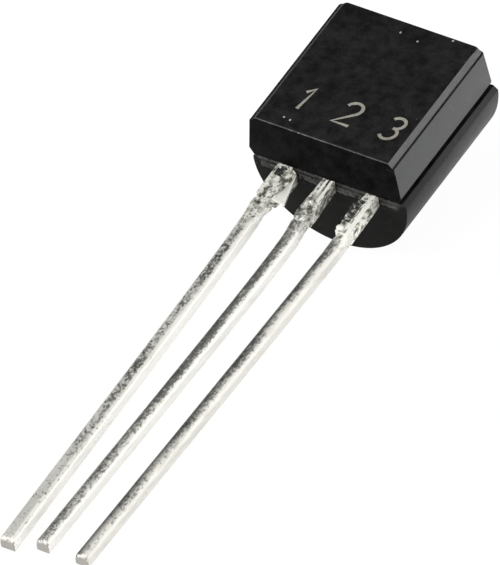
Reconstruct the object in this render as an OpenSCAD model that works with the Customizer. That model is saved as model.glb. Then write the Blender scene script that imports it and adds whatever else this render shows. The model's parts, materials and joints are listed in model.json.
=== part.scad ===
// Small-signal transistor in a moulded three-lead case, lying on its round back.
// Each piece is drawn in the frame of the case: X across the case, Y up the case
// and away from the leads, Z out of the marked face. Z = 0 is the parting line of
// the mould, which is also the front of the lead frame. at_rest() then lays the
// finished transistor down on its back rim and its longest lead, with its origin
// under the middle of its bounding box. Lengths are in millimetres.

/* [Case] */
// Width of the case, across the half-round back
body_w = 4.5; // [4.3:0.05:4.7]
// Height of the case along the leads, at the parting line
body_h = 4.57; // [4.3:0.01:4.7]
// Width of the front half at its widest, just in front of the parting line
front_w = 4.45; // [4.3:0.01:4.5]
// Depth of the front half, from the parting line to the marked face
front_t = 1.31; // [1.1:0.01:1.4]
// Sideways slip of the front mould half against the back one
front_shift = -0.1; // [-0.15:0.01:0.15]
// Bevel between the marked face and each side
face_bevel = 0.12; // [0.05:0.01:0.2]
// Narrow step between that bevel and the side
face_step = 0.06; // [0.02:0.01:0.1]
// Draft of the sides of the front half, in degrees
side_draft = 6; // [2:0.5:8]
// Draft of both ends of the case, in degrees
end_draft = 2; // [1:0.5:5]
// Depth of the inward bevel of the front half at the parting line
seam_t = 0.19; // [0.1:0.01:0.25]
// Width of that bevel on each side
seam_bevel = 0.13; // [0.05:0.01:0.15]
// Depth of the bevelled rim of the back half, before its round begins
rim_t = 0.1; // [0.05:0.01:0.25]
// Width of that rim's bevel on each side
rim_bevel = 0.12; // [0.05:0.01:0.15]
// Diameter of the ejector pin mark on the round back
ejector_d = 1.4; // [1:0.1:1.6]
// Depth of the ejector pin mark
ejector_t = 0.15; // [0.05:0.01:0.25]

/* [Leads] */
// Spacing of the leads where they leave the case
lead_pitch = 1.27; // [1.2:0.01:1.3]
// Width of each lead
lead_w = 0.4; // [0.38:0.01:0.5]
// Thickness of the lead frame
lead_t = 0.36; // [0.3:0.01:0.45]
// Length of the base and emitter leads outside the case
lead_l = 13.86; // [12.7:0.01:14.5]
// How much longer the collector lead was cut
collector_extra = 0.3; // [0:0.05:0.5]
// Sideways bend of the collector lead at its tip
collector_lean = 0.31; // [-0.35:0.01:0.35]
// Sideways bend of the base lead at its tip
base_lean = -0.2; // [-0.35:0.01:0.35]
// Sideways bend of the emitter lead at its tip
emitter_lean = -0.28; // [-0.35:0.01:0.35]
// Width of the base and emitter leads at the case
neck_w = 0.32; // [0.28:0.01:0.36]
// Distance of the cut tie bar stubs from the case
stub_y = 1.2; // [1:0.05:1.8]
// Tie bar stub left on the collector lead
collector_stub = 0.36; // [0.05:0.01:0.4]
// Tie bar stub left on the base lead
base_stub = 0.07; // [0.05:0.01:0.3]
// Tie bar stub left on the emitter lead
emitter_stub = 0.12; // [0.05:0.01:0.3]
// Length of the cut edge of the base and emitter stubs
stub_cut = 0.85; // [0.5:0.05:0.95]
// Length of the cut edge of the collector stub
collector_cut = 0.1; // [0.05:0.05:0.5]
// Rolled edge where each lead was sheared off
tip_bevel = 0.1; // [0.05:0.01:0.15]

/* [Inside] */
// Width of the collector lead inside the case
collector_inner_w = 0.6; // [0.5:0.02:0.7]
// Width of the base and emitter leads inside the case
inner_w = 0.52; // [0.5:0.02:0.6]
// How far the leads run into the case before they widen
neck_in = 0.15; // [0.1:0.01:0.2]
// Radius of the resin lock hole in each lead
lock_r = 0.12; // [0.08:0.01:0.15]
// Width of the chip paddle
paddle_w = 2.2; // [1.8:0.05:2.3]
// Length of the chip paddle
paddle_l = 1.7; // [1.4:0.05:1.8]
// How far the paddle's edge lies outside the collector lead
paddle_edge = 0.15; // [0.05:0.01:0.2]
// Bevel of the paddle's corners
paddle_corner = 0.25; // [0.1:0.05:0.4]
// Resin above the chip paddle
paddle_cover = 0.7; // [0.5:0.05:0.9]
// Width of the wire posts on the base and emitter leads
post_w = 0.76; // [0.6:0.02:0.8]
// Length of each wire post
post_l = 0.55; // [0.4:0.05:0.6]
// Resin below the base post
base_post_y = 0.8; // [0.6:0.05:0.9]
// Resin below the emitter post
emitter_post_y = 1.85; // [1.6:0.05:2.1]
// Side of the square silicon chip
die_w = 0.6; // [0.4:0.05:0.8]
// Sideways place of the chip, from the middle of the paddle
die_shift = 0.18; // [0:0.01:0.3]
// Thickness of the silicon chip
die_t = 0.25; // [0.15:0.01:0.3]
// Thickness of the solder under the chip
attach_t = 0.02; // [0.01:0.005:0.04]
// Rim of solder that shows round the chip
attach_rim = 0.06; // [0.03:0.01:0.1]
// Diameter of the bond wires
wire_d = 0.04; // [0.025:0.005:0.05]
// Diameter of the ball where a wire starts on the chip
ball_d = 0.11; // [0.09:0.01:0.14]

/* [Hidden] */
$fn = 96;

// Case
back_r = body_w / 2;
back_t = rim_t + back_r;
front_half_w = front_w / 2;
face_half_w = front_half_w - (front_t - face_bevel - seam_t) * tan(side_draft);
marked_half_w = face_half_w - face_step - face_bevel;
step_z = front_t - face_bevel;
// Cutters are as wide as cut and run margin past what they cut
cut = 2 * body_w;
margin = 1;

// Leads
collector_x = -lead_pitch;
emitter_x = lead_pitch;
collector_l = lead_l + collector_extra;
longest_l = max(lead_l, collector_l);

// Chip paddle
paddle_x = collector_x - lead_w / 2 - paddle_edge;
paddle_y = body_h - paddle_cover - paddle_l;

// Chip and bond wires. The loop of a wire turns through twice wire_rise degrees
die_x = paddle_x + paddle_w / 2 + die_shift;
die_y = paddle_y + paddle_l / 2;
die_top = attach_t + die_t;
pad_inset = die_w / 5;
ball_t = ball_d / 3;
stitch_t = wire_d / 2;
stitch_d = 2.5 * wire_d;
wire_rise = 48;
base_pad = [die_x - pad_inset, die_y - pad_inset];
emitter_pad = [die_x + pad_inset, die_y + pad_inset];
base_post = [0, base_post_y + post_l / 2];
emitter_post = [emitter_x, emitter_post_y + post_l / 2];

// Lying at rest: the back rim and the tip of the longest lead touch the ground
rim_y = back_t * tan(end_draft);
rest_tilt = atan((back_t - lead_t) / (longest_l + rim_y));
rest_z = back_t * cos(rest_tilt) - rim_y * sin(rest_tilt);
y_low = -longest_l * cos(rest_tilt) + tip_bevel * sin(rest_tilt);
y_high = body_h * cos(rest_tilt) + back_t * (sin(rest_tilt) - tan(end_draft) * cos(rest_tilt));
x_low = min(-back_r, front_shift - front_half_w);
x_high = max(back_r, front_shift + front_half_w);

module at_rest() {
    translate([-(x_low + x_high) / 2, -(y_low + y_high) / 2, rest_z])
        rotate([rest_tilt, 0, 0])
            children();
}

// Section across the case, drawn in X and Z and run up the case
module along_case() {
    translate([0, body_h, 0])
        rotate([90, 0, 0])
            linear_extrude(body_h)
                children();
}

// Side view of the case, drawn in Y and Z and run across it
module across_case() {
    translate([-cut / 2, 0, 0])
        rotate([90, 0, 90])
            linear_extrude(cut)
                children();
}

// Both ends lean in from the parting line, at the front and at the back
module end_profile() {
    front_run = front_t * tan(end_draft);
    polygon([
        [0, 0], [front_run, front_t], [body_h - front_run, front_t],
        [body_h, 0], [body_h - rim_y, -back_t], [rim_y, -back_t]
    ]);
}

module front_section() {
    polygon([
        [seam_bevel - front_half_w, 0], [front_half_w - seam_bevel, 0],
        [front_half_w, seam_t], [face_half_w, step_z], [face_half_w - face_step, step_z],
        [marked_half_w, front_t], [-marked_half_w, front_t],
        [face_step - face_half_w, step_z], [-face_half_w, step_z], [-front_half_w, seam_t]
    ]);
}

module back_section() {
    intersection() {
        translate([0, -rim_t])
            circle(r = back_r);
        translate([-back_r, -back_t])
            square([body_w, back_r]);
    }
    polygon([
        [-back_r, -rim_t], [back_r, -rim_t],
        [back_r - rim_bevel, 0], [rim_bevel - back_r, 0]
    ]);
}

module case_outside() {
    intersection() {
        union() {
            translate([front_shift, 0, 0])
                along_case() front_section();
            along_case() back_section();
        }
        across_case() end_profile();
    }
}

// Flat round mark of the ejector pin, half way up the round back
module ejector_mark() {
    translate([0, body_h / 2, -back_t - margin])
        cylinder(d = ejector_d, h = margin + ejector_t);
}

// The resin fills every space round the lead frame, chip and wires
module moulded_body() {
    color([0.12, 0.12, 0.12])
        difference() {
            case_outside();
            ejector_mark();
            collector_lead();
            base_lead();
            emitter_lead();
            die_attach();
            silicon_die();
            base_bond_wire();
            emitter_bond_wire();
        }
}

// Outline of a lead from its neck, just inside the case, round the cut stub of the
// tie bar to its tip. left and right are the widths of a stub on that side, and
// stub_l is the length of its cut edge.
module lead_outline(length, lean, neck, left, right, stub_l) {
    flare_y = stub_l - stub_y;
    left_x = -lead_w / 2 - left;
    right_x = lead_w / 2 + right;
    polygon(concat(
        [[neck / 2, neck_in], [-neck / 2, neck_in], [-neck / 2, 0]],
        left > 0 ? [[left_x, flare_y], [left_x, -stub_y]] : [],
        [[-lead_w / 2, -stub_y], [lean - lead_w / 2, -length]],
        [[lean + lead_w / 2, -length], [lead_w / 2, -stub_y]],
        right > 0 ? [[right_x, -stub_y], [right_x, flare_y]] : [],
        [[neck / 2, 0]]
    ));
}

// Rolled front edge of a sheared tip
module tip_roll(length) {
    translate([-cut / 2, 0, 0])
        rotate([90, 0, 90])
            linear_extrude(cut)
                polygon([[-length - margin, margin], [tip_bevel - length + margin, margin],
                         [-length - margin, -tip_bevel - margin]]);
}

// A stamped lead: its outline in the lead frame's plane, less the rolled tip
module stamped_lead(length) {
    difference() {
        translate([0, 0, -lead_t])
            linear_extrude(lead_t)
                children();
        tip_roll(length);
    }
}

// The wider stretch inside the case, with its round lock hole
module inner_neck(width, top) {
    difference() {
        translate([-width / 2, neck_in])
            square([width, top - neck_in]);
        translate([0, (top + neck_in) / 2])
            circle(r = lock_r, $fn = 32);
    }
}

module wire_post_outline(bottom) {
    translate([-post_w / 2, bottom])
        square([post_w, post_l]);
}

module paddle_outline() {
    polygon([
        [paddle_x, paddle_y], [paddle_x + paddle_w, paddle_y],
        [paddle_x + paddle_w, paddle_y + paddle_l - paddle_corner],
        [paddle_x + paddle_w - paddle_corner, paddle_y + paddle_l],
        [paddle_x + paddle_corner, paddle_y + paddle_l],
        [paddle_x, paddle_y + paddle_l - paddle_corner]
    ]);
}

module collector_lead() {
    color("silver")
        stamped_lead(collector_l) {
            translate([collector_x, 0]) {
                lead_outline(collector_l, collector_lean, lead_w, 0, collector_stub, collector_cut);
                inner_neck(collector_inner_w, paddle_y);
            }
            paddle_outline();
        }
}

module base_lead() {
    color("silver")
        stamped_lead(lead_l) {
            lead_outline(lead_l, base_lean, neck_w, 0, base_stub, stub_cut);
            inner_neck(inner_w, base_post_y);
            wire_post_outline(base_post_y);
        }
}

module emitter_lead() {
    color("silver")
        stamped_lead(lead_l)
            translate([emitter_x, 0]) {
                lead_outline(lead_l, emitter_lean, neck_w, emitter_stub, 0, stub_cut);
                inner_neck(inner_w, emitter_post_y);
                wire_post_outline(emitter_post_y);
            }
}

module die_attach() {
    attach_w = die_w + 2 * attach_rim;
    color("gray")
        translate([die_x - attach_w / 2, die_y - attach_w / 2, 0])
            cube([attach_w, attach_w, attach_t]);
}

module silicon_die() {
    color("dimgray")
        translate([die_x - die_w / 2, die_y - die_w / 2, attach_t])
            cube([die_w, die_w, die_t]);
}

// A bond wire: a ball on the chip, one round loop, and a stitch on the post.
// The loop is an arc over the chord between the two ends.
module bond_wire(pad, post) {
    run = norm(post - pad);
    heading = atan2(post.y - pad.y, post.x - pad.x);
    chord = norm([run, die_top]);
    fall = atan2(die_top, run);
    loop_r = chord / (2 * sin(wire_rise));
    translate([pad.x, pad.y, die_top])
        cylinder(d = ball_d, h = ball_t, $fn = 32);
    translate([post.x, post.y, 0])
        cylinder(d = stitch_d, h = stitch_t, $fn = 32);
    translate([pad.x, pad.y, die_top])
        rotate([0, 0, heading])
            rotate([0, fall, 0])
                translate([chord / 2, 0, -loop_r * cos(wire_rise)])
                    rotate([90, 0, 0])
                        rotate([0, 0, 90 - wire_rise])
                            rotate_extrude(angle = 2 * wire_rise)
                                translate([loop_r, 0])
                                    circle(d = wire_d, $fn = 24);
}

module base_bond_wire() {
    color("gold")
        difference() {
            bond_wire(base_pad, base_post);
            silicon_die();
            base_lead();
        }
}

module emitter_bond_wire() {
    color("gold")
        difference() {
            bond_wire(emitter_pad, emitter_post);
            silicon_die();
            emitter_lead();
        }
}

at_rest() moulded_body();
at_rest() collector_lead();
at_rest() base_lead();
at_rest() emitter_lead();
at_rest() die_attach();
at_rest() silicon_die();
at_rest() base_bond_wire();
at_rest() emitter_bond_wire();
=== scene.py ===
import json
from math import cos, pi, radians, sin, tan

import bmesh
import bpy
from mathutils import Matrix, Vector


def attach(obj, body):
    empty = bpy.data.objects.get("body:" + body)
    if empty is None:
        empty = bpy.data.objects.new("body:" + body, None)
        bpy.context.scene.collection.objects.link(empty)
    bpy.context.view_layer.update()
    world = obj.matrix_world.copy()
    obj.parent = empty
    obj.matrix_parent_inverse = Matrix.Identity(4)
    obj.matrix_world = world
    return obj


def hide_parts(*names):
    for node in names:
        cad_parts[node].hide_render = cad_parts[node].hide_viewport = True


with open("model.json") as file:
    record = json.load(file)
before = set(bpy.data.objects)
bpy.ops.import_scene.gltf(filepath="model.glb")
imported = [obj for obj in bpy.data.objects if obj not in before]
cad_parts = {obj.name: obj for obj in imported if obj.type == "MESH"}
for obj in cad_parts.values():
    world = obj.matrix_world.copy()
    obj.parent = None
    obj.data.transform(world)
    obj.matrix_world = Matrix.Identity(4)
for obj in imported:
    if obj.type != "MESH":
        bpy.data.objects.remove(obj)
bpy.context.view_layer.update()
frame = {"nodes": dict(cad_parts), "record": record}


# Studio: a long lens looks down on the marked face and along the leads. The floor is
# a pale sheet. A wide softbox stands on the right, one hangs in front on the left, and
# a weaker one hangs behind.
azimuth = radians(32.533)
elevation = radians(38.826)
roll = radians(2.459)
distance = 0.55
picture_h = 565
px_per_m = 39888
aim_right = 0.0003459
aim_down = -0.0017557

away = Vector((-sin(azimuth) * cos(elevation), cos(azimuth) * cos(elevation), -sin(elevation)))
level = Vector((cos(azimuth), sin(azimuth), 0))
plumb = away.cross(level)
right = level * cos(roll) + plumb * sin(roll)
down = plumb * cos(roll) - level * sin(roll)

bpy.ops.object.select_all(action="DESELECT")
bpy.ops.object.camera_add()
camera = bpy.context.object
camera.name = "camera"
camera.matrix_world = (
    Matrix.Translation(right * aim_right + down * aim_down - away * distance)
    @ Matrix((right, -down, -away)).transposed().to_4x4()
)
camera.data.lens = camera.data.sensor_width * distance * px_per_m / picture_h
bpy.context.scene.camera = camera
bpy.context.scene.view_settings.view_transform = "Standard"


def softbox(name, towards, reach, width, height, radiance):
    """A rectangular lamp that faces the transistor, as bright all over as radiance says."""
    place = Vector(towards).normalized() * reach
    bpy.ops.object.light_add(type="AREA", location=place)
    lamp = bpy.context.object
    lamp.name = name
    lamp.rotation_euler = place.to_track_quat("Z", "Y").to_euler()
    lamp.data.shape = "RECTANGLE"
    lamp.data.size = width
    lamp.data.size_y = height
    lamp.data.energy = radiance * pi * width * height
    lamp.visible_camera = False


softbox("softbox_right", (0.9, 0.35, 0.42), 0.5, 0.9, 0.42, 2.0)
softbox("softbox_front", (-0.42, -0.6, 0.68), 0.6, 0.6, 0.6, 3.6)
softbox("softbox_back", (0.4, 0.75, 0.7), 0.7, 0.6, 0.4, 0.9)

world = bpy.data.worlds.new("studio")
bpy.context.scene.world = world
world.use_nodes = True
world.node_tree.nodes["Background"].inputs["Color"].default_value = (0.15, 0.15, 0.15, 1)


def new_material(name):
    material = bpy.data.materials.new(name)
    material.use_nodes = True
    return material, material.node_tree.nodes, material.node_tree.links


def calculate(nodes, links, operation, *values):
    """A Math node on values that are numbers or other nodes' sockets."""
    node = nodes.new("ShaderNodeMath")
    node.operation = operation
    for value, socket in zip(values, node.inputs):
        if isinstance(value, (int, float)):
            socket.default_value = value
        else:
            links.new(value, socket)
    return node.outputs["Value"]


bpy.ops.mesh.primitive_plane_add(size=3)
floor = bpy.context.object
floor.name = "floor"
material, nodes, links = new_material("pale_floor")
sheet = nodes["Principled BSDF"]
sheet.inputs["Base Color"].default_value = (0.86, 0.86, 0.86, 1)
sheet.inputs["Roughness"].default_value = 0.9
glow = nodes.new("ShaderNodeEmission")
glow.inputs["Color"].default_value = (1, 1, 1, 1)
glow.inputs["Strength"].default_value = 1.05
ray = nodes.new("ShaderNodeLightPath")
seen = calculate(nodes, links, "MAXIMUM", ray.outputs["Is Camera Ray"], ray.outputs["Is Glossy Ray"])
seen = calculate(nodes, links, "MAXIMUM", seen, ray.outputs["Is Transmission Ray"])
white = nodes.new("ShaderNodeMixShader")
links.new(calculate(nodes, links, "MULTIPLY", seen, 0.9), white.inputs[0])
links.new(sheet.outputs[0], white.inputs[1])
links.new(glow.outputs[0], white.inputs[2])
links.new(white.outputs[0], nodes["Material Output"].inputs["Surface"])
floor.data.materials.append(material)


# Moulded body: black filled epoxy, pressed in a two-part mould round the lead frame.
# The front half is a block with the flat marked face, and the back half is round. Both
# lean in from the parting line, and the front half slipped a little to the left.
body_w = 4.5
body_h = 4.57
front_w = 4.45
front_t = 1.31
front_shift = -0.1
face_bevel = 0.12
face_step = 0.06
step_drop = 0.012
side_draft = radians(6)
end_draft = radians(2)
seam_t = 0.19
seam_bevel = 0.13
rim_t = 0.1
rim_bevel = 0.12
seam_lap = 0.012
mould_growth = 0.07
corner_r = 0.1
face_edge_r = 0.045
edge_r = 0.015
ejector_d = 1.4
ejector_t = 0.15
back_r = body_w / 2
back_t = rim_t + back_r
lead_pitch = 1.27

marked_face = next(m for m in frame["record"]["mounts"] if m["name"] == "marked_face")
across = Vector((1, 0, 0))
outward = Vector(marked_face["axis"])
upward = outward.cross(across)
case_to_row = Matrix.Translation(marked_face["pos_m"]) @ (
    Matrix((across, upward, outward)).transposed().to_4x4()
    @ Matrix.Scale(0.001, 4)
    @ Matrix.Translation((-front_shift, -body_h / 2, -front_t))
)


def take(piece):
    """Leaves only this piece selected and active."""
    bpy.ops.object.select_all(action="DESELECT")
    piece.select_set(True)
    bpy.context.view_layer.objects.active = piece


def settle(piece):
    """Moves the piece's place and turn into its mesh."""
    take(piece)
    bpy.ops.object.transform_apply(location=True, rotation=True, scale=True)


def pick(kind, test):
    """Selects, in edit mode, the parts of one kind that pass the test."""
    bpy.ops.mesh.select_mode(type=kind)
    bpy.ops.mesh.select_all(action="DESELECT")
    mesh = bmesh.from_edit_mesh(bpy.context.edit_object.data)
    parts = {"VERT": mesh.verts, "EDGE": mesh.edges, "FACE": mesh.faces}[kind]
    for part in parts:
        if test(part):
            part.select_set(True)
    mesh.select_flush_mode()
    bmesh.update_edit_mesh(bpy.context.edit_object.data)


def sharp(edge):
    """Whether an edge stands between two faces that meet at a clear angle."""
    return len(edge.link_faces) == 2 and edge.calc_face_angle() > radians(25)


def face_outward():
    """Turns all faces of the mesh outward, and leaves edit mode."""
    bpy.ops.mesh.select_all(action="SELECT")
    bpy.ops.mesh.normals_make_consistent(inside=False)
    bpy.ops.object.mode_set(mode="OBJECT")


def apply_all(piece):
    """Applies the piece's modifiers."""
    take(piece)
    for modifier in list(piece.modifiers):
        bpy.ops.object.modifier_apply(modifier=modifier.name)


def combine(piece, other, operation):
    """Joins another solid to a piece, or cuts it out, and removes the other."""
    modifier = piece.modifiers.new(operation.lower(), "BOOLEAN")
    modifier.operation = operation
    modifier.solver = "EXACT"
    modifier.object = other
    apply_all(piece)
    bpy.data.objects.remove(other)


def cut_across(place, normal, keep_front=False, keep_back=False):
    """Bisects all of the mesh, and closes the cut where one side is dropped."""
    bpy.ops.mesh.select_all(action="SELECT")
    bpy.ops.mesh.bisect(
        plane_co=place,
        plane_no=normal,
        use_fill=keep_front or keep_back,
        clear_inner=keep_front,
        clear_outer=keep_back,
    )


# The front half, drawn down from the marked face to the parting line
face_half_w = front_w / 2 - (front_t - face_bevel - seam_t) * tan(side_draft)
step_z = front_t - face_bevel
sections = [
    (front_t, face_half_w - face_step - face_bevel),
    (step_z, face_half_w - face_step),
    (step_z - step_drop, face_half_w),
    (seam_t, front_w / 2),
    (-seam_lap, front_w / 2 - seam_bevel),
]
bpy.ops.object.select_all(action="DESELECT")
bpy.ops.mesh.primitive_plane_add(size=1, location=(front_shift, body_h / 2, front_t))
body = bpy.context.object
body.name = "moulded_body_looks"
settle(body)
bpy.ops.object.mode_set(mode="EDIT")
bpy.ops.mesh.select_all(action="SELECT")
z, half_w = sections[0]
length = body_h - 2 * z * tan(end_draft)
bpy.ops.transform.resize(value=(2 * half_w, length, 1), center_override=(front_shift, body_h / 2, z))
pick("VERT", lambda v: v.co.y > body_h / 2)
bpy.ops.mesh.bevel(offset=corner_r, segments=5, affect="VERTICES")
bpy.ops.mesh.select_mode(type="FACE")
bpy.ops.mesh.select_all(action="SELECT")
for next_z, next_half_w in sections[1:]:
    next_length = body_h - 2 * next_z * tan(end_draft)
    bpy.ops.mesh.extrude_region_move(TRANSFORM_OT_translate={"value": (0, 0, next_z - z)})
    bpy.ops.transform.resize(
        value=(next_half_w / half_w, next_length / length, 1),
        center_override=(front_shift, body_h / 2, next_z),
    )
    z, half_w, length = next_z, next_half_w, next_length
bpy.ops.mesh.select_all(action="SELECT")
bpy.ops.mesh.normals_make_consistent(inside=False)
pick("EDGE", lambda e: sharp(e) and all(v.co.z > front_t - 0.001 for v in e.verts)
     and abs(e.verts[0].co.y - e.verts[1].co.y) < 0.3)
bpy.ops.mesh.bevel(offset=face_edge_r, segments=3, affect="EDGES")
pick("EDGE", lambda e: sharp(e) and any(v.co.z > 0.01 for v in e.verts)
     and all(v.co.z < step_z + 0.001 for v in e.verts))
bpy.ops.mesh.bevel(offset=edge_r, segments=2, affect="EDGES", clamp_overlap=True)
bpy.ops.object.mode_set(mode="OBJECT")

# The back half, a half-round bar with a bevelled rim, cut off at the drafted ends
overrun = 1
bpy.ops.object.select_all(action="DESELECT")
bpy.ops.mesh.primitive_circle_add(
    vertices=128,
    radius=back_r,
    fill_type="NGON",
    location=(0, -overrun, -rim_t),
    rotation=(pi / 2, 0, 0),
)
back = bpy.context.object
settle(back)
bpy.ops.object.mode_set(mode="EDIT")
cut_across((0, 0, -rim_t), (0, 0, -1))
pick("VERT", lambda v: v.co.z > -rim_t + 0.001)
bpy.ops.mesh.delete(type="VERT")
pick("EDGE", lambda e: all(abs(v.co.z + rim_t) < 0.0001 for v in e.verts))
bpy.ops.mesh.extrude_region_move(TRANSFORM_OT_translate={"value": (0, 0, rim_t)})
bpy.ops.transform.resize(value=((back_r - rim_bevel) / back_r, 1, 1), center_override=(0, -overrun, 0))
bpy.ops.mesh.select_all(action="SELECT")
bpy.ops.mesh.extrude_region_move(TRANSFORM_OT_translate={"value": (0, body_h + 2 * overrun, 0)})
cut_across((0, 0, 0), (0, 1, tan(end_draft)), keep_front=True)
cut_across((0, body_h, 0), (0, 1, -tan(end_draft)), keep_back=True)
bpy.ops.mesh.select_all(action="SELECT")
bpy.ops.mesh.remove_doubles(threshold=0.0001)
bpy.ops.mesh.dissolve_limited(angle_limit=radians(0.5))
bpy.ops.mesh.normals_make_consistent(inside=False)
pick("EDGE", lambda e: sharp(e) and any(v.co.z < -0.01 for v in e.verts))
bpy.ops.mesh.bevel(offset=edge_r, segments=2, affect="EDGES", clamp_overlap=True)
bpy.ops.object.mode_set(mode="OBJECT")
combine(body, back, "UNION")

# The round mark of the ejector pin, in the middle of the back
bpy.ops.mesh.primitive_cylinder_add(
    vertices=64, radius=ejector_d / 2, depth=1, location=(0, body_h / 2, ejector_t - back_t - 0.5)
)
combine(body, bpy.context.object, "DIFFERENCE")

# The top of the case came out a little longer than its nominal height
take(body)
bpy.ops.object.mode_set(mode="EDIT")
pick("VERT", lambda v: v.co.y > body_h - 0.5)
bpy.ops.transform.translate(value=(0, mould_growth, 0))
bpy.ops.object.mode_set(mode="OBJECT")

# Resin flash at the leads' end: a fine line where the mould halves met, and behind it
# rough strips of resin that ran into the gaps between the leads, part of the same shot.
# The flash is coloured lighter grey than the case, a painted highlight on its ridges.
flash_line = (-0.085, 0.006)
flash_band = (-0.34, -0.15)
flash_cells = 45
pitting = bpy.data.textures.new("pitting", "CLOUDS")
pitting.noise_scale = 0.13
pitting.noise_depth = 3
finishes = (
    "resin", "resin_lit_side", "resin_lit_bevel", "resin_end", "resin_foot", "resin_wear_and_highlight",
    "resin_flash_and_highlight", "laser_mark", "dust",
)
body.data.materials.clear()
for name in finishes:
    body.data.materials.append(bpy.data.materials.new(name))


def finish_as(piece, finish):
    """Gives a part of the case one finish all over, before it is joined on or cut out."""
    for name in finishes:
        piece.data.materials.append(bpy.data.materials[name])
    for polygon in piece.data.polygons:
        polygon.material_index = finishes.index(finish)


def flash_strip(left, right, low, high, proud):
    """A rough strip of resin on the end of the case, in case millimetres."""
    bpy.ops.object.select_all(action="DESELECT")
    bpy.ops.mesh.primitive_grid_add(
        x_subdivisions=max(6, int((right - left) * flash_cells)),
        y_subdivisions=max(2, int((high - low) * flash_cells)),
        size=1,
        location=((left + right) / 2, -0.2 * proud - low * tan(end_draft), (low + high) / 2),
        rotation=(pi / 2, 0, 0),
    )
    strip = bpy.context.object
    strip.scale = (right - left, high - low, 1)
    settle(strip)
    rough = strip.modifiers.new("rough", "DISPLACE")
    rough.texture = pitting
    rough.texture_coords = "LOCAL"
    rough.mid_level = 0.45
    rough.strength = 2.5 * proud
    apply_all(strip)
    bpy.ops.object.mode_set(mode="EDIT")
    bpy.ops.mesh.select_mode(type="FACE")
    bpy.ops.mesh.select_all(action="SELECT")
    bpy.ops.mesh.extrude_region_move(TRANSFORM_OT_translate={"value": (0, 0.1, 0)})
    face_outward()
    return strip


strips = [
    flash_strip(-2.08, 1.98, *flash_line, 0.02),
    flash_strip(-2.02, -1.5, *flash_band, 0.035),
    flash_strip(-1.05, -0.2, *flash_band, 0.04),
    flash_strip(0.2, 1.08, *flash_band, 0.045),
    flash_strip(1.47, 1.96, -0.24, -0.15, 0.03),
]
for strip in strips:
    finish_as(strip, "resin_flash_and_highlight")
    combine(body, strip, "UNION")

# Specks of pale dust, stuck to the marked face
dust_r = 0.03
for x, y in ((-1.195, 0.356), (-1.388, 0.384), (-0.209, 4.205), (0.346, 4.108), (1.158, 4.499)):
    bpy.ops.object.select_all(action="DESELECT")
    bpy.ops.mesh.primitive_ico_sphere_add(subdivisions=2, radius=dust_r, location=(x, y, front_t))
    speck = bpy.context.object
    speck.scale = (1, 1.2, 0.6)
    settle(speck)
    finish_as(speck, "dust")
    combine(body, speck, "UNION")

# Pin numbers, cut by a laser as shallow round-bottomed strokes
stroke_r = 0.05
stroke_depth = 0.35 * stroke_r
digit_h = 0.8
digit_slant = 0.16
digit_foot = 0.78


def arc(x, y, r, start, stop, steps=12):
    """Points round part of a circle, from one angle to another, in degrees."""
    turns = [radians(start + (stop - start) * i / steps) for i in range(steps + 1)]
    return [(x + r * cos(turn), y + r * sin(turn)) for turn in turns]


digits = {
    -lead_pitch: [[(-0.14, 0.6), (0.02, digit_h), (0.02, 0)]],
    0: [arc(0, 0.58, 0.22, 165, -40) + [(-0.24, 0), (0.26, 0)]],
    lead_pitch: [arc(-0.01, 0.6, 0.2, 150, -85), arc(0, 0.21, 0.21, 95, -150)],
}
for x, strokes in digits.items():
    for points in strokes:
        curve = bpy.data.curves.new("stroke", "CURVE")
        curve.dimensions = "3D"
        curve.bevel_depth = stroke_r
        curve.bevel_resolution = 3
        curve.use_fill_caps = True
        line = curve.splines.new("POLY")
        line.points.add(len(points) - 1)
        for point, (px, py) in zip(line.points, points):
            point.co = (x + px + digit_slant * py, digit_foot + py, 0, 1)
        stroke = bpy.data.objects.new("stroke", curve)
        bpy.context.collection.objects.link(stroke)
        take(stroke)
        bpy.ops.object.convert(target="MESH")
        stroke = bpy.context.object
        stroke.scale = (1, 1, stroke_depth / stroke_r)
        stroke.location = (0, 0, front_t + 0.004)
        settle(stroke)
        finish_as(stroke, "laser_mark")
        combine(body, stroke, "DIFFERENCE")

for polygon in body.data.polygons:
    n, c = polygon.normal, polygon.center
    if polygon.material_index:
        continue
    # Edges of the end with the face and the right side: lighter, partly wear and chips, partly a painted
    # highlight
    if (n.z > 0.3 or n.x > 0.3) and n.y < -0.3 and c.z > 0:
        finish = "resin_wear_and_highlight"
    # Both sides: a lighter copy of the resin, painted light from the right
    elif c.z > seam_t - 0.02 and abs(n.x) > 0.8 and abs(n.y) < 0.3:
        finish = "resin_lit_side"
    # The right bevel only, the left one stays plain resin: lighter, a painted highlight
    elif c.z > front_t / 2 and n.x > 0.5 and n.z > 0.5:
        finish = "resin_lit_bevel"
    elif n.y < -0.5:
        finish = "resin_end" if c.z > 0 else "resin_foot"
    else:
        finish = "resin"
    polygon.material_index = finishes.index(finish)
take(body)
bpy.ops.object.shade_smooth_by_angle(angle=radians(32))


def pattern(nodes, links, scale, detail=4, rough=0.6, stretch=(1, 1, 1)):
    """Noise fixed to the piece; scale counts its lumps per metre."""
    place = nodes.new("ShaderNodeTexCoord")
    turn = nodes.new("ShaderNodeMapping")
    turn.inputs["Scale"].default_value = stretch
    noise = nodes.new("ShaderNodeTexNoise")
    noise.inputs["Scale"].default_value = scale
    noise.inputs["Detail"].default_value = detail
    noise.inputs["Roughness"].default_value = rough
    links.new(place.outputs["Object"], turn.inputs["Vector"])
    links.new(turn.outputs["Vector"], noise.inputs["Vector"])
    return noise.outputs["Fac"]


def ramp(nodes, links, value, *stops):
    """Turns a value into colours; each stop is a position and a colour or a grey."""
    scale = nodes.new("ShaderNodeValToRGB")
    while len(scale.color_ramp.elements) < len(stops):
        scale.color_ramp.elements.new(0.5)
    for element, (position, colour) in zip(scale.color_ramp.elements, stops):
        element.position = position
        element.color = (*colour, 1) if isinstance(colour, tuple) else (colour, colour, colour, 1)
    links.new(value, scale.inputs["Fac"])
    return scale.outputs["Color"]


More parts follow.
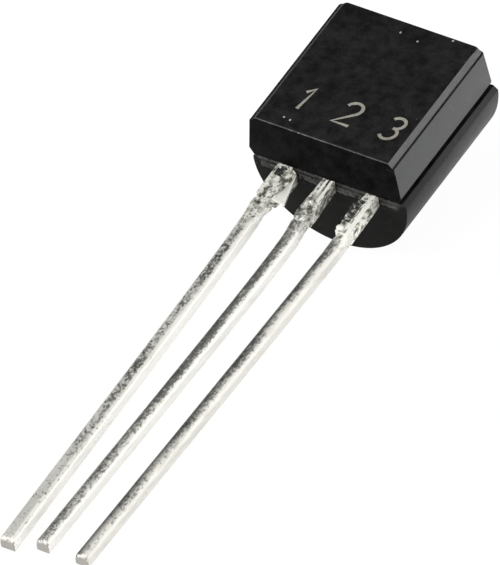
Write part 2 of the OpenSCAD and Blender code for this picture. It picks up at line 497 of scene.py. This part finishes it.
def mixed(nodes, links, share, first, second, kind="MIX"):
    """Mixes two colours by a share; each of the three is a value or a socket."""
    mix = nodes.new("ShaderNodeMix")
    mix.data_type = "RGBA"
    mix.blend_type = kind
    for value, socket in ((share, mix.inputs[0]), (first, mix.inputs[6]), (second, mix.inputs[7])):
        if isinstance(value, tuple):
            socket.default_value = (*value, 1)
        elif isinstance(value, (int, float)):
            socket.default_value = value
        else:
            links.new(value, socket)
    return mix.outputs[2]


def raise_by(nodes, links, height, distance, under=None):
    """Bump from a height pattern, distance in metres."""
    relief = nodes.new("ShaderNodeBump")
    relief.inputs["Strength"].default_value = 1
    relief.inputs["Distance"].default_value = distance
    links.new(height, relief.inputs["Height"])
    if under:
        links.new(under, relief.inputs["Normal"])
    return relief.outputs["Normal"]


def resin(name, dark, light, gloss, satin, mottle=(0.3, 0.7), bloom_reach=0):
    """Black moulding compound: mottled a little, with a fine grain of filler. With a
    bloom_reach, in millimetres, it has grey bloom below the parting line, where resin
    bled out between the leads."""
    material = bpy.data.materials[name]
    material.use_nodes = True
    nodes, links = material.node_tree.nodes, material.node_tree.links
    surface = nodes["Principled BSDF"]
    surface.inputs["Specular IOR Level"].default_value = gloss
    cloud = pattern(nodes, links, 2500, 6, 0.7)
    grain = pattern(nodes, links, 26000, 3, 0.6)
    speck = pattern(nodes, links, 11000, 2, 0.5)
    ground = ramp(nodes, links, cloud, (mottle[0], dark), (mottle[1], light))
    filler = ramp(nodes, links, speck, (0.72, 0.0), (0.8, tuple(4 * c for c in light)))
    colour = mixed(nodes, links, 1, ground, filler, "ADD")
    if bloom_reach:
        place = nodes.new("ShaderNodeTexCoord")
        height = nodes.new("ShaderNodeVectorMath")
        height.operation = "DOT_PRODUCT"
        height.inputs[1].default_value = outward
        links.new(place.outputs["Object"], height.inputs[0])
        parting = outward.dot(case_to_row.translation)
        fade = nodes.new("ShaderNodeMapRange")
        fade.inputs["From Min"].default_value = parting - bloom_reach * 0.001
        fade.inputs["From Max"].default_value = parting
        fade.inputs["To Min"].default_value = -0.25
        fade.inputs["To Max"].default_value = 0.12
        links.new(height.outputs["Value"], fade.inputs["Value"])
        patches = pattern(nodes, links, 1700, 6, 0.65)
        patches = calculate(nodes, links, "ADD", patches, fade.outputs["Result"])
        bloom = ramp(nodes, links, patches, (0.5, 0.0), (0.66, 1.0))
        colour = mixed(nodes, links, bloom, colour, (0.06, 0.06, 0.055))
    links.new(colour, surface.inputs["Base Color"])
    links.new(ramp(nodes, links, cloud, (0.3, satin - 0.06), (0.7, satin + 0.08)), surface.inputs["Roughness"])
    fine = raise_by(nodes, links, grain, 0.000003)
    links.new(raise_by(nodes, links, cloud, 0.000012, fine), surface.inputs["Normal"])


resin("resin", (0.001, 0.001, 0.0012), (0.0105, 0.0106, 0.0106), 0.3, 0.45, mottle=(0.38, 0.62))
# The sides: lighter than the face, painted light
resin("resin_lit_side", (0.037, 0.038, 0.039), (0.053, 0.054, 0.055), 0.8, 0.42)
# The right bevel: lighter than the face, a painted highlight
resin("resin_lit_bevel", (0.022, 0.023, 0.024), (0.033, 0.034, 0.035), 0.8, 0.42)
resin("resin_end", (0.002, 0.002, 0.002), (0.009, 0.009, 0.009), 0.03, 0.6, mottle=(0.4, 0.6))
resin("resin_foot", (0.009, 0.009, 0.009), (0.018, 0.018, 0.017), 0.03, 0.6, bloom_reach=0.75)
# The flash: lighter grey than the case, a painted highlight on its ridges
resin("resin_flash_and_highlight", (0.013, 0.013, 0.013), (0.09, 0.09, 0.083), 0.3, 0.5, mottle=(0.42, 0.66))
# The front edges: lighter patches, partly wear, partly a painted highlight
resin("resin_wear_and_highlight", (0.013, 0.013, 0.013), (0.18, 0.18, 0.17), 0.5, 0.4, mottle=(0.48, 0.68))
resin("laser_mark", (0.22, 0.21, 0.18), (0.38, 0.365, 0.32), 0.1, 0.7)
resin("dust", (0.25, 0.25, 0.24), (0.4, 0.4, 0.38), 0.1, 0.8)

body.data.transform(case_to_row)
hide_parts("moulded_body")
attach(body, "root")


# Collector lead: the left one, stamped from tin-plated copper strip. It carries the chip
# on a paddle inside the case. Outside, the torn end of the tie bar sticks out on its
# inner side, and below that the lead is rubbed and flecked by the forming tool.
lead_w = 0.4
lead_t = 0.36
lead_l = 13.86
collector_l = lead_l + 0.3
inner_cut = 0.17
inside = 0.2
neck_l = 0.14
shoulder_inside = 0.1
tip_roll = 0.1
settling = 0.25
bend_start = 1.5
bend_power = 0.45
tooled_l = 1.7
collector_sway = (0.255, 0.08)
# Finish numbers: plain plate, a painted highlight, darker tin, a painted shadow, and the cut end
plated, highlight, darkened, shadowed, cut = range(5)

# Where the tin changes, in metres from the case and in metres from the tip
mottle_fade = (0.0012, 0.0024)
tip_fade = (0.002, 0.0065)


def lead_copy(node):
    """Copies a CAD lead's mesh into a new piece, in the case's millimetres."""
    mesh = frame["nodes"][node].data.copy()
    mesh.materials.clear()
    mesh.transform(case_to_row.inverted())
    piece = bpy.data.objects.new(node + "_looks", mesh)
    bpy.context.collection.objects.link(piece)
    take(piece)
    bpy.ops.object.mode_set(mode="EDIT")
    bpy.ops.mesh.select_mode(type="VERT")
    bpy.ops.mesh.select_all(action="SELECT")
    bpy.ops.mesh.remove_doubles(threshold=0.0005)
    bpy.ops.mesh.dissolve_limited(angle_limit=radians(0.5))
    return piece


def start_section(x, left, right, start, thick=lead_t, top=0):
    """Draws a plain section across a lead, at a distance from the case."""
    bpy.ops.object.select_all(action="DESELECT")
    bpy.ops.mesh.primitive_plane_add(size=1, rotation=(pi / 2, 0, 0))
    section = bpy.context.object
    section.scale = (right - left, thick, 1)
    section.location = (x + (left + right) / 2, -start, top - thick / 2)
    settle(section)
    bpy.ops.object.mode_set(mode="EDIT")
    return section


def round_corners(middle, radii):
    """Rounds the section's corners: front left, front right, and both at the back."""
    tests = [
        lambda v: v.co.x < middle - 0.1 and v.co.z > -0.01,
        lambda v: v.co.x > middle + 0.1 and v.co.z > -0.01,
        lambda v: v.co.z < 0.01 - lead_t,
    ]
    for test, radius in zip(tests, radii):
        pick("VERT", test)
        bpy.ops.mesh.bevel(offset=radius, segments=7, affect="VERTICES", clamp_overlap=True)


def draw_out(x, rows):
    """Extrudes the section through rows of distance, left edge, right edge and drop."""
    bpy.ops.mesh.select_mode(type="FACE")
    bpy.ops.mesh.select_all(action="SELECT")
    old_d, old_left, old_right, old_drop = rows[0]
    for d, left, right, drop in rows[1:]:
        shift = (left + right - old_left - old_right) / 2
        bpy.ops.mesh.extrude_region_move(TRANSFORM_OT_translate={"value": (shift, old_d - d, 0)})
        bpy.ops.transform.resize(
            value=((right - left) / (old_right - old_left), 1, (lead_t - drop) / (lead_t - old_drop)),
            center_override=(x + (left + right) / 2, -d, -lead_t),
        )
        old_d, old_left, old_right, old_drop = d, left, right, drop
    face_outward()


def neck(x, left, right):
    """A slimmer length inside the case, that joins the inner lead to the shoulder."""
    piece = start_section(x, left, right, -inside)
    bpy.ops.mesh.select_all(action="SELECT")
    bpy.ops.transform.resize(value=(0.85, 1, 0.85), center_override=(x, 0, -lead_t / 2))
    bpy.ops.mesh.extrude_region_move(TRANSFORM_OT_translate={"value": (0, -neck_l, 0)})
    face_outward()
    return piece


def shoulder(x, rows, grooves):
    """The flat stretch at the case, scored along its front by the forming tool."""
    _, left, right = rows[0]
    block = start_section(x, left, right, -shoulder_inside)
    pick("EDGE", lambda e: all(v.co.z > -0.01 for v in e.verts))
    bpy.ops.mesh.subdivide(number_cuts=len(grooves))
    for i, depth in enumerate(grooves):
        place = x + left + (right - left) * (i + 1) / (len(grooves) + 1)
        pick("VERT", lambda v: abs(v.co.x - place) < 0.01 and v.co.z > -0.01)
        bpy.ops.transform.translate(value=(0, 0, -depth))
    draw_out(x, [(-shoulder_inside, left, right, 0)] + [(*row, 0) for row in rows])
    return block


def sway(d, lean, bow):
    """How far a lead has strayed to the right, at a distance from the case."""
    u = max(0, d / lead_l)
    return lean * u + bow * sin(pi * min(u, 1) ** bend_power)


def wire(x, top, length, radii, lean, bow, narrow):
    """The long drawn stretch with rounded edges, from under the shoulder to its tip."""
    left, right = -lead_w / 2, lead_w / 2
    waist = 0.03
    sunk = 0.05
    section = start_section(x, left, right, top - inside)
    round_corners(x, radii)
    bpy.ops.mesh.select_all(action="SELECT")
    bpy.ops.transform.resize(
        value=(1 - waist / right, 1, 1 - sunk / lead_t), center_override=(x, 0, -lead_t)
    )
    rows = [
        (top - inside, left + waist, right - waist, sunk),
        (top + 0.03, left + 0.01, right - 0.01, sunk),
    ]
    steps = 24
    start = top + settling
    for i in range(steps + 1):
        d = start + (length - tip_roll - start) * i / steps
        shift = sway(d - start, lean, bow)
        rows.append((d, left + shift, right + shift - narrow * i / steps, 0))
    _, left, right, _ = rows[-1]
    rows.append((length - 0.4 * tip_roll, left, right, 0.25 * tip_roll))
    rows.append((length, left + 0.005, right - 0.005, tip_roll))
    draw_out(x, rows)
    return section


def torn_flap(x, left, right, d, drop, reach):
    """A thin torn edge, narrow at the case and widest at its lower end."""
    flap = start_section(x, left, right, d, thick=0.08, top=-0.012)
    pick("VERT", lambda v: v.co.x > x + right - 0.01)
    bpy.ops.transform.translate(value=(0, 0, -drop))
    bpy.ops.mesh.select_mode(type="FACE")
    bpy.ops.mesh.select_all(action="SELECT")
    bpy.ops.mesh.extrude_region_move(TRANSFORM_OT_translate={"value": (0, reach, 0)})
    bpy.ops.transform.resize(value=(0.42, 1, 0.4), center_override=(x + left, reach - d, 0))
    face_outward()
    return flap


def crumple(x, place, d, width, length, height, turn):
    """A lump that the forming tool pushed up: a dented ball, pressed flat."""
    bpy.ops.object.select_all(action="DESELECT")
    bpy.ops.mesh.primitive_ico_sphere_add(subdivisions=2, radius=1)
    lump = bpy.context.object
    bpy.ops.object.mode_set(mode="EDIT")
    bpy.ops.mesh.select_all(action="SELECT")
    bpy.ops.transform.vertex_random(offset=0.16, seed=abs(turn))
    bpy.ops.object.mode_set(mode="OBJECT")
    lump.scale = (width / 2, length / 2, height)
    lump.rotation_euler = (0, 0, radians(turn))
    lump.location = (x + place, -d, -0.3 * height)
    settle(lump)
    return lump


def make_lead(node, x, shoulder_rows, grooves, burrs, *wire_facts):
    """Joins the CAD lead's inner end, the shoulder, the wire and the burrs."""
    lead = lead_copy(node)
    cut_across((0, inner_cut, 0), (0, 1, 0), keep_front=True)
    bpy.ops.object.mode_set(mode="OBJECT")
    combine(lead, neck(x, *shoulder_rows[0][1:]), "UNION")
    combine(lead, shoulder(x, shoulder_rows, grooves), "UNION")
    combine(lead, wire(x, shoulder_rows[-1][0], *wire_facts), "UNION")
    bpy.ops.object.select_all(action="DESELECT")
    for burr in burrs:
        burr.select_set(True)
    bpy.context.view_layer.objects.active = burrs[0]
    bpy.ops.object.join()
    combine(lead, burrs[0], "UNION")
    return lead


def tin(
    name, worn, clear, painted_shading, rubbed, tip_share, side=(1.0, 0.985, 0.93), metal=0.25, mottled=True
):
    """Tin plate, duller than shiny metal. The shading stops give a painted shade and reflection,
    in grey from the lead's left edge to its right edge, and rubbed says where across it the
    tool left dark flecks; fewer of them reach the tip. Faces turned away from the front take
    the side colour, a painted light. Near the case it is dull and mottled all round."""
    material, nodes, links = new_material(name)
    surface = nodes["Principled BSDF"]
    streak = pattern(nodes, links, 6500, 4, 0.6, (1, 0.1, 1))
    fleck = pattern(nodes, links, 13000, 5, 0.75, (1, 0.7, 1))
    soft = pattern(nodes, links, 1700, 4, 0.6, (1, 0.4, 1))
    blotch = pattern(nodes, links, 6000, 5, 0.6, (1, 0.7, 1))

    shape = nodes.new("ShaderNodeNewGeometry")
    facing = nodes.new("ShaderNodeVectorMath")
    facing.operation = "DOT_PRODUCT"
    facing.inputs[1].default_value = 0.9 * outward - 0.45 * across
    links.new(shape.outputs["Normal"], facing.inputs[0])
    front = ramp(nodes, links, facing.outputs["Value"], (0.35, 0.0), (0.75, 1.0))

    position = nodes.new("ShaderNodeTexCoord")
    split = nodes.new("ShaderNodeSeparateXYZ")
    links.new(position.outputs["Object"], split.inputs["Vector"])
    case_end = case_to_row.translation.y
    tip_end = (case_to_row @ Vector((0, -lead_l, 0))).y
    near = nodes.new("ShaderNodeMapRange")
    near.inputs["From Min"].default_value = case_end - mottle_fade[1]
    near.inputs["From Max"].default_value = case_end - mottle_fade[0]
    near.inputs["To Max"].default_value = 1 if mottled else 0
    links.new(split.outputs["Y"], near.inputs["Value"])
    near = near.outputs["Result"]
    along = nodes.new("ShaderNodeMapRange")
    along.inputs["From Min"].default_value = tip_end + tip_fade[0]
    along.inputs["From Max"].default_value = tip_end + tip_fade[1]
    links.new(split.outputs["Y"], along.inputs["Value"])

    across_lead = nodes.new("ShaderNodeAttribute")
    across_lead.attribute_name = "across_lead"
    strayed = calculate(nodes, links, "MULTIPLY_ADD", soft, 0.3, across_lead.outputs["Fac"])
    where = ramp(nodes, links, strayed, *rubbed)
    where = mixed(nodes, links, along.outputs["Result"], (tip_share, tip_share, tip_share), where)
    where = mixed(nodes, links, near, where, (0.35, 0.35, 0.35))
    crowd = calculate(nodes, links, "MULTIPLY_ADD", soft, 0.3, fleck)
    crowd = calculate(nodes, links, "MULTIPLY_ADD", where, -0.2, crowd)
    marks = ramp(
        nodes, links, crowd, (clear - 0.08, worn), (clear, (0.5, 0.5, 0.46)), (clear + 0.05, (1.0, 0.985, 0.91))
    )
    mottle = ramp(nodes, links, blotch, (0.38, (0.11, 0.11, 0.1)), (0.46, (0.5, 0.5, 0.46)), (0.53, 1.0))
    # Painted shading across the lead, which gives way to mottle near the case
    shading_and_mottle = mixed(nodes, links, near, ramp(nodes, links, strayed, *painted_shading), mottle)
    face = mixed(nodes, links, 1, marks, shading_and_mottle, "MULTIPLY")
    faced = calculate(nodes, links, "MAXIMUM", front, near)
    # Faces away from the front take the side colour, near-white: painted light on the lead's sides
    plate = mixed(nodes, links, faced, side, face)
    lines = ramp(nodes, links, streak, (0.36, 0.88), (0.52, 1.0))
    links.new(mixed(nodes, links, 1, plate, lines, "MULTIPLY"), surface.inputs["Base Color"])
    surface.inputs["Metallic"].default_value = metal
    if mottled:
        dulled = calculate(nodes, links, "MULTIPLY_ADD", near, -0.6 * metal, metal)
        links.new(dulled, surface.inputs["Metallic"])
    links.new(ramp(nodes, links, soft, (0.35, 0.25), (0.65, 0.42)), surface.inputs["Roughness"])
    fine = raise_by(nodes, links, streak, 0.000012)
    links.new(raise_by(nodes, links, fleck, 0.00001, fine), surface.inputs["Normal"])
    return material


plain = [(0.0, 1.0), (1.0, 1.0)]
# Near-white tin with few flecks and little metal: a painted highlight
highlight_tin = tin("highlight_tin", (0.6, 0.6, 0.56), 0.3, plain, plain, 1, metal=0.05, mottled=False)
# Darker tin with more flecks: painted shade in the base lead's groove, elsewhere just darker
darkened_tin = tin("darkened_tin", (0.045, 0.047, 0.042), 0.56, plain, plain, 1, mottled=False)
# Near-black tin: a painted shadow, on the emitter partly a stain
shadowed_tin = tin("shadowed_tin", (0.02, 0.02, 0.018), 0.7, plain, plain, 1, mottled=False)
cut_tin = tin("cut_tin", (0.3, 0.29, 0.27), 0.4, plain, plain, 1, side=(0.42, 0.4, 0.365), mottled=False)


def finish_lead(lead, node, x, lean, bow, plate, choose):
    """Lays the tin on a finished lead, with the marks that choose gives its stretch at
    the case, and puts the lead in its place."""
    for finish in (plate, highlight_tin, darkened_tin, shadowed_tin, cut_tin):
        lead.data.materials.append(finish)
    spread = lead.data.attributes.new("across_lead", "FLOAT", "POINT")
    for vertex, value in zip(lead.data.vertices, spread.data):
        value.value = (vertex.co.x - x - sway(-vertex.co.y - bend_start, lean, bow)) / lead_w + 0.5
    for polygon in lead.data.polygons:
        c = polygon.center
        if 0 < -c.y < tooled_l:
            polygon.material_index = choose(c.x - x, -c.y, c.z, polygon.normal)
        elif polygon.normal.y < -0.8:
            polygon.material_index = cut
    take(lead)
    bpy.ops.object.shade_smooth_by_angle(angle=radians(35))
    lead.data.transform(case_to_row)
    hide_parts(node)
    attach(lead, "root")


def collector_marks(place, d, height, normal):
    """A painted highlight on the torn flap's top, darker tin further down it and in a patch near the case, and
    a painted shadow on the end faces at the flap's lower end.
    """
    if place > 0.3 and normal.y < -0.7 and d > 1.1:
        return shadowed
    if place > 0.32 and normal.z > 0.3 and height < -0.008:
        return highlight if d < 1.2 else darkened
    return darkened if abs(place - 0.02) < 0.12 and 0.04 < d < 0.42 and normal.z > 0.5 else plated


collector = make_lead(
    "collector_lead", -lead_pitch,
    [
        (0, -0.2, 0.2), (0.05, -0.2, 0.22), (0.16, -0.2, 0.4), (0.4, -0.2, 0.42), (0.7, -0.2, 0.4),
        (1.14, -0.19, 0.33),
    ],
    (0.0, 0.02, 0.02, 0.0, 0.012, 0.0, 0.0),
    [
        torn_flap(-lead_pitch, 0.26, 0.64, 1.16, 0.05, 0.98),
        torn_flap(-lead_pitch, 0.1, 0.4, 1.38, 0.05, -1.2),
    ],
    collector_l, (0.09, 0.07, 0.04), *collector_sway, -0.03,
)
collector_tin = tin(
    "collector_tin", (0.13, 0.13, 0.12), 0.49,
    # Painted shading, from the lead's left edge to its right edge
    [(0.1, 0.52), (0.35, 0.68), (0.8, 0.66), (0.95, 1.0)],
    [(0.2, 0.3), (0.4, 0.88), (0.75, 0.84), (0.95, 0.1)],
    0.25,
)
finish_lead(
    collector, "collector_lead", -lead_pitch, *collector_sway, collector_tin, collector_marks
)


# Base lead: the middle one, stamped from the same strip, with a post for its bond wire
# inside the case. The forming tool scored and crumpled it just below the case.
base_sway = (-0.2, 0.11)


def base_marks(place, d, height, normal):
    """A painted highlight on two ridges, and painted shade, darker tin, along the groove between them."""
    if not 0.05 < d < 0.8 or normal.z < 0.5 or height > 0.004:
        return plated
    if 0 < place < 0.06:
        return darkened
    return highlight if -0.09 < place < 0 or 0.06 < place < 0.13 else plated


base = make_lead(
    "base_lead", 0,
    [(0, -0.16, 0.16), (0.4, -0.17, 0.19), (0.8, -0.19, 0.21), (1.1, -0.2, 0.22), (1.35, -0.2, 0.21)],
    (0.0, 0.025, 0.03, 0.0, 0.03, 0.0, 0.01),
    [
        crumple(0, -0.05, 0.84, 0.26, 0.16, 0.05, 35),
        crumple(0, 0.05, 1.12, 0.26, 0.2, 0.06, -25),
        crumple(0, 0.012, 1.44, 0.4, 0.28, 0.07, 20),
    ],
    lead_l, (0.13, 0.12, 0.05), *base_sway, 0.02,
)
base_tin = tin(
    "base_tin", (0.25, 0.25, 0.23), 0.54,
    # Painted shading, from the lead's left edge to its right edge
    [(0.2, 0.5), (0.28, 0.3), (0.46, 0.4), (0.68, 0.68), (0.9, 1.0)],
    [(0.1, 0.3), (0.4, 0.95), (0.7, 0.9), (1.0, 0.0)],
    0.35,
)
finish_lead(base, "base_lead", 0, *base_sway, base_tin, base_marks)


# Emitter lead: the right one, stamped from the same strip, with a post for its bond wire
# inside the case. It is darker on its inner side down to the tie bar's stub.
emitter_sway = (-0.35, 0.03)


def emitter_marks(place, d, height, normal):
    """A painted highlight along the right of the front and on the lump, darker tin on the left side, and a
    painted shadow, partly a stain, on the end face at the shoulder's end.
    """
    if d > 1.44 and normal.y < -0.7:
        return shadowed
    if height > 0.004:
        return highlight
    if place < -0.02 and 0.2 < d < 1.15 and normal.z > 0.5:
        return darkened
    return highlight if 0.03 < place < 0.14 and normal.z > 0.5 and d > 0.2 else plated


emitter = make_lead(
    "emitter_lead", lead_pitch,
    [
        (0, -0.16, 0.16), (0.25, -0.19, 0.17), (0.49, -0.3, 0.18), (1.08, -0.25, 0.19),
        (1.24, -0.21, 0.19), (1.46, -0.24, 0.2),
    ],
    (0.0, 0.02, 0.03, 0.0, 0.015, 0.0, 0.03),
    [crumple(lead_pitch, -0.16, 1.33, 0.24, 0.2, 0.08, -35)],
    lead_l, (0.15, 0.16, 0.06), *emitter_sway, 0.0,
)
emitter_tin = tin(
    "emitter_tin", (0.3, 0.3, 0.28), 0.5,
    # Painted shading, from the lead's left edge to its right edge
    [(0.18, 0.3), (0.28, 0.06), (0.42, 0.13), (0.62, 0.42), (0.88, 0.9)],
    [(0.1, 0.0), (0.5, 0.8), (0.8, 0.6), (1.0, 0.0)],
    # Sides darker than on the other leads: painted shade against the fuller light on this lead's sides
    0.5, side=(0.75, 0.735, 0.68),
)
finish_lead(emitter, "emitter_lead", lead_pitch, *emitter_sway, emitter_tin, emitter_marks)


# Chip, solder and bond wires: the silicon chip soldered to the paddle, and two gold
# wires from its pads to the posts. They stay as the solids made them, inside the case.
def plain_finish(node, name, colour, metal, satin, relief):
    """Gives a CAD node a material with a little mottle and a fine grain."""
    material, nodes, links = new_material(name)
    surface = nodes["Principled BSDF"]
    surface.inputs["Metallic"].default_value = metal
    cloud = pattern(nodes, links, 9000, 4, 0.6)
    dark = tuple(0.8 * c for c in colour)
    links.new(ramp(nodes, links, cloud, (0.3, dark), (0.7, colour)), surface.inputs["Base Color"])
    links.new(ramp(nodes, links, cloud, (0.3, satin), (0.7, satin + 0.1)), surface.inputs["Roughness"])
    links.new(raise_by(nodes, links, cloud, relief), surface.inputs["Normal"])
    node.data.materials.clear()
    node.data.materials.append(material)


plain_finish(frame["nodes"]["silicon_die"], "polished_silicon", (0.09, 0.1, 0.12), 0.6, 0.15, 0.0000005)
plain_finish(frame["nodes"]["die_attach"], "dull_solder", (0.45, 0.45, 0.46), 1, 0.45, 0.000003)
for name in ("base_bond_wire", "emitter_bond_wire"):
    plain_finish(frame["nodes"][name], name + "_gold", (0.83, 0.6, 0.22), 1, 0.2, 0.0000004)
